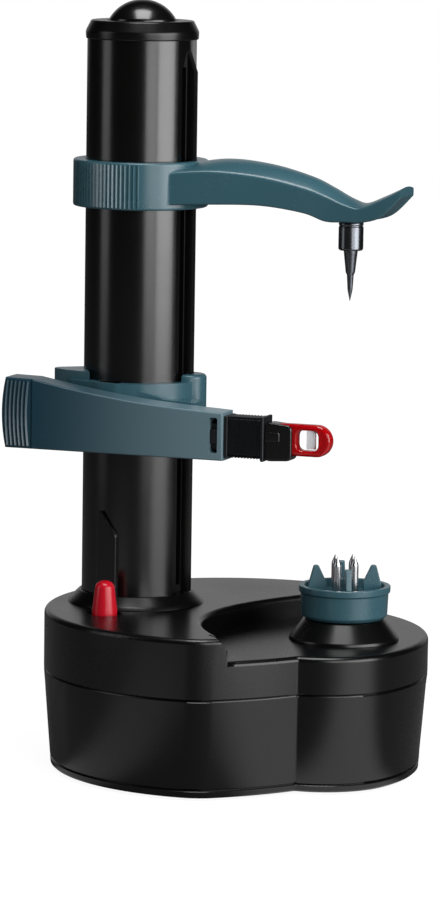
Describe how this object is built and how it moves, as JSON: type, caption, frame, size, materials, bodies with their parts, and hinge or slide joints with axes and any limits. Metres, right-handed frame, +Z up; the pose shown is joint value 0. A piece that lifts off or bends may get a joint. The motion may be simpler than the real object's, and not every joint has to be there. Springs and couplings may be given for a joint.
{
  "type": "electric potato peeler",
  "caption": "Battery driven peeler: a column with a sliding top arm and a peeling lever that a leadscrew moves past a turning food holder on a round base.",
  "frame": {"origin": "under the column's axis, on the surface that the feet stand on", "axes": "+Z up along the column, +X from the column to the food holder, -Y to the start button"},
  "size_m": [0.1544, 0.1456, 0.2896],
  "materials": {
    "housing_black": "satin",
    "gloss_black": "gloss",
    "teal_plastic": "satin",
    "grip_black": "matte",
    "red_clear": "gloss",
    "button_red": "gloss",
    "blade_steel": "ground",
    "bright_pin": "polished",
    "dark_pin": "polished",
    "screw_steel": "satin",
    "gear_nylon": "natural",
    "motor_can": "plain",
    "brass": "turned",
    "spring_steel": "drawn",
    "contact_plate": "plated",
    "cell_wrap": "plain",
    "foot_rubber": "matte"
  },
  "bodies": {
    "base": {"base_upper_housing": "housing_black", "base_lower_housing": "housing_black", "base_cover": "housing_black", "rubber_feet": "foot_rubber", "battery_box": "housing_black", "battery_cells": "cell_wrap", "battery_contact_springs": "spring_steel", "battery_contact_plates": "contact_plate", "gearbox_lower_plate": "gear_nylon", "gearbox_upper_plate": "gear_nylon", "shaft_bushes": "brass", "gear_axles": "screw_steel", "motor": "motor_can", "column_tube": "gloss_black", "column_foot_ring": "gloss_black", "column_cap": "gloss_black", "column_cap_dome": "gloss_black", "leadscrew_top_bush": "gear_nylon", "holder_pedestal": "gloss_black", "start_switch": "housing_black", "button_spring": "spring_steel", "adapter_inlet": "gloss_black", "housing_screws": "screw_steel", "gearbox_screws": "screw_steel"},
    "screw": {"leadscrew": "screw_steel", "leadscrew_gear": "gear_nylon"},
    "holder": {"food_holder_cup": "teal_plastic", "holder_pins": "bright_pin", "holder_shaft": "screw_steel", "holder_gear": "gear_nylon"},
    "idler": {"idler_gear": "gear_nylon"},
    "second_gear": {"second_reduction_gear": "gear_nylon"},
    "first_gear": {"first_reduction_gear": "gear_nylon"},
    "motor_rotor": {"motor_pinion": "brass"},
    "carriage": {"carriage": "teal_plastic", "lever_hinge_pin": "screw_steel", "lever_spring": "spring_steel"},
    "nut": {"half_nut": "brass", "half_nut_spring": "spring_steel"},
    "lever": {"peeling_lever": "teal_plastic", "blade_grip": "grip_black", "blade_holder": "gloss_black", "blade_guard": "red_clear", "peeler_blade": "blade_steel"},
    "arm": {"upper_arm": "teal_plastic", "arm_friction_pad": "foot_rubber"},
    "spike": {"top_spike": "dark_pin"},
    "button": {"start_button": "button_red"},
    "door": {"battery_door": "housing_black"}
  },
  "joints": [
    {"name": "carriage_slide", "type": "slide", "parent": "base", "child": "carriage", "axis": [0, 0, 1], "range_m": [-0.045, 0.06]},
    {"name": "leadscrew_spin", "type": "hinge", "parent": "base", "child": "screw", "pos_m": [0, 0, 0.042], "axis": [0, 0, -1], "range_deg": [-2701, 3601]},
    {"name": "holder_spin", "type": "hinge", "parent": "base", "child": "holder", "pos_m": [0.084, 0, 0.042], "axis": [0, 0, -1], "range_deg": [-2701, 3601]},
    {"name": "idler_spin", "type": "hinge", "parent": "base", "child": "idler", "pos_m": [0.042, 0, 0.042], "axis": [0, 0, -1], "range_deg": [-3274, 2456]},
    {"name": "second_gear_spin", "type": "hinge", "parent": "base", "child": "second_gear", "pos_m": [0.03242, 0.02631, 0.042], "axis": [0, 0, -1], "range_deg": [-9001, 12001]},
    {"name": "first_gear_spin", "type": "hinge", "parent": "base", "child": "first_gear", "pos_m": [0.05357, 0.03401, 0.042], "axis": [0, 0, -1], "range_deg": [-48001, 36001]},
    {"name": "motor_spin", "type": "hinge", "parent": "base", "child": "motor_rotor", "pos_m": [0.06585, 0.04261, 0.042], "axis": [0, 0, -1], "range_deg": [-180001, 240002]},
    {"name": "half_nut_release", "type": "slide", "parent": "carriage", "child": "nut", "axis": [1, 0, 0], "range_m": [0, 0.0013], "stiffness_N_per_m": 900, "springref_m": -0.001, "deforming": ["half_nut_spring"]},
    {"name": "lever_swing", "type": "hinge", "parent": "carriage", "child": "lever", "pos_m": [0, -0.0308, 0.134], "axis": [0, 0, 1], "range_deg": [-12, 12], "stiffness_Nm_per_rad": 0.12, "deforming": ["lever_spring"]},
    {"name": "upper_arm_slide", "type": "slide", "parent": "base", "child": "arm", "axis": [0, 0, 1], "range_m": [-0.055, 0.045]},
    {"name": "top_spike_spin", "type": "hinge", "parent": "arm", "child": "spike", "pos_m": [0.084, 0, 0.2028], "axis": [0, 0, 1], "continuous": true},
    {"name": "start_button_press", "type": "slide", "parent": "base", "child": "button", "axis": [0, 0, -1], "range_m": [0, 0.003], "stiffness_N_per_m": 250, "springref_m": -0.002, "deforming": ["button_spring"]},
    {"name": "battery_door_swing", "type": "hinge", "parent": "base", "child": "door", "pos_m": [0.038, 0.01555, 0.00245], "axis": [1, 0, 0], "range_deg": [0, 90]}
  ],
  "couplings": [
    {"joint": "leadscrew_spin", "follows": "carriage_slide", "rad_per_m": 1047.2},
    {"joint": "holder_spin", "follows": "carriage_slide", "rad_per_m": 1047.2},
    {"joint": "idler_spin", "follows": "carriage_slide", "rad_per_m": -952},
    {"joint": "second_gear_spin", "follows": "carriage_slide", "rad_per_m": 3490.7},
    {"joint": "first_gear_spin", "follows": "carriage_slide", "rad_per_m": -13963},
    {"joint": "motor_spin", "follows": "carriage_slide", "rad_per_m": 69813}
  ]
}
